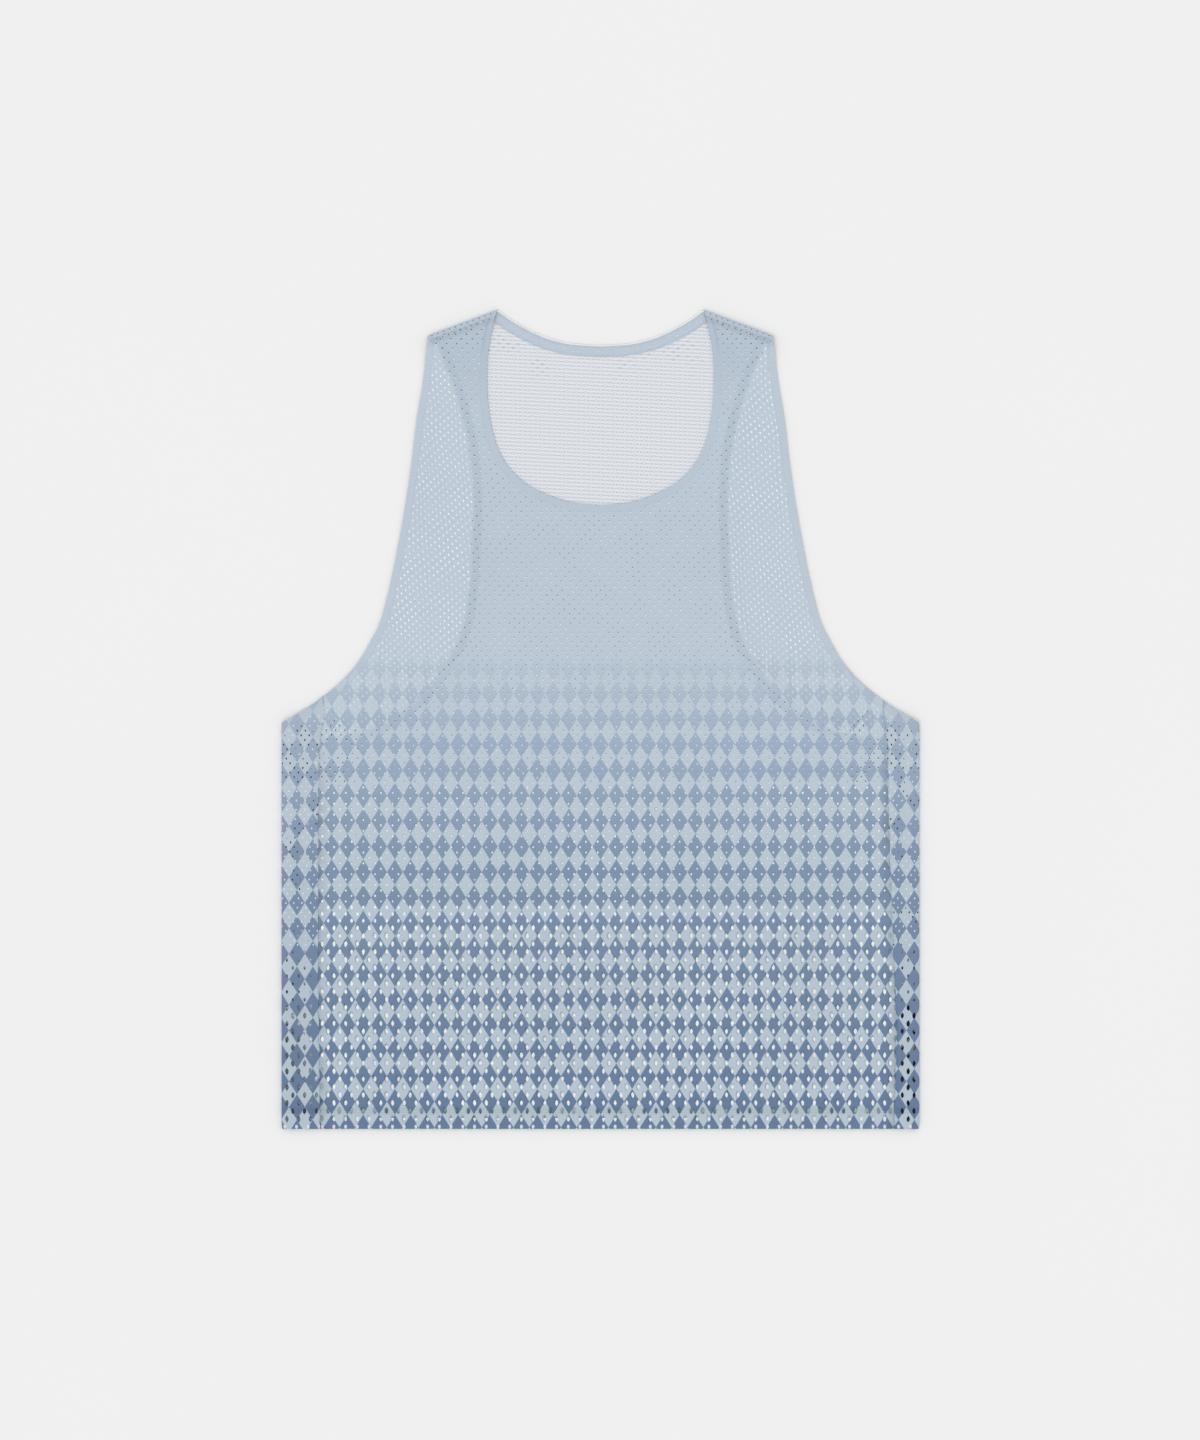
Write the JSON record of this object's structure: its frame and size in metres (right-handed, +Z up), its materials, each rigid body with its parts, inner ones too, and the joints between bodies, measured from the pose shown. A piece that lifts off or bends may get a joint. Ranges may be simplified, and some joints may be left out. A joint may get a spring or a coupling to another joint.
{
  "type": "running singlet",
  "caption": "Sleeveless mesh-knit running singlet laid flat, with a deep scoop neck, cut-away armholes, side seams that roll to the front and a turned-up hem.",
  "frame": {"origin": "middle of the laid garment's outline, on the surface it rests on", "axes": "+X across the chest to the right as the front is seen, +Y from the hem to the neck, +Z up out of the front"},
  "size_m": [0.5, 0.6427, 0.0046],
  "materials": {
    "mesh_knit": "matte warp-knit polyester mesh, pale blue fading to slate at the hem, white inside",
    "facing_knit": "matte smooth knit tape, pale blue"
  },
  "bodies": {
    "root": {"back_panel": "mesh_knit", "front_panel": "mesh_knit", "neck_facing_back": "facing_knit", "neck_facing_front": "facing_knit", "armhole_facing_back_left": "facing_knit", "armhole_facing_back_right": "facing_knit", "armhole_facing_front_left": "facing_knit", "armhole_facing_front_right": "facing_knit"}
  },
  "joints": []
}
